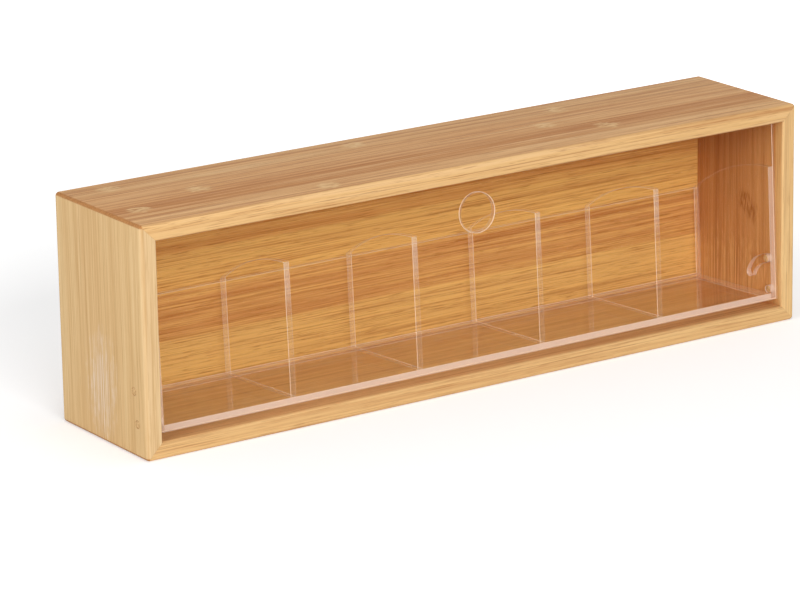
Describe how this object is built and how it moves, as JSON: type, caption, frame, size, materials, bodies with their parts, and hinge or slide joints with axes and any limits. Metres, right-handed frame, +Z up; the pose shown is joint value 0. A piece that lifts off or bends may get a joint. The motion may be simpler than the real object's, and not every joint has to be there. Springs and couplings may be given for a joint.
{
  "type": "tea bag drawer box",
  "caption": "Long tabletop bamboo case with mitred corners and a clear acrylic drawer that tilts forward, divided into compartments for tea bags.",
  "frame": {"origin": "middle of the case's underside", "axes": "+X to the right along the length of the case seen from the front, +Y from the front to the back, +Z up"},
  "size_m": [0.39, 0.08, 0.115],
  "materials": {
    "bamboo_board": "laminated bamboo, sanded and lightly oiled",
    "bamboo_back": "laminated bamboo with carbonised strips, sanded and lightly oiled",
    "bamboo_dowel": "turned bamboo, sanded flush outside",
    "clear_acrylic": "clear cast acrylic sheet, polished"
  },
  "bodies": {
    "case": {"top_board": "bamboo_board", "bottom_board": "bamboo_board", "left_board": "bamboo_board", "right_board": "bamboo_board", "back_board": "bamboo_back", "left_pivot_dowel": "bamboo_dowel", "right_pivot_dowel": "bamboo_dowel", "left_stop_dowel": "bamboo_dowel", "right_stop_dowel": "bamboo_dowel"},
    "drawer": {"drawer_front_panel": "clear_acrylic", "drawer_back_panel": "clear_acrylic", "drawer_floor_panel": "clear_acrylic", "drawer_left_side": "clear_acrylic", "drawer_right_side": "clear_acrylic", "divider_1": "clear_acrylic", "divider_2": "clear_acrylic", "divider_3": "clear_acrylic", "divider_4": "clear_acrylic"}
  },
  "joints": [
    {"name": "drawer_tilt", "type": "hinge", "parent": "case", "child": "drawer", "pos_m": [0, -0.03177, 0.01676], "axis": [1, 0, 0], "range_deg": [0, 60]}
  ]
}
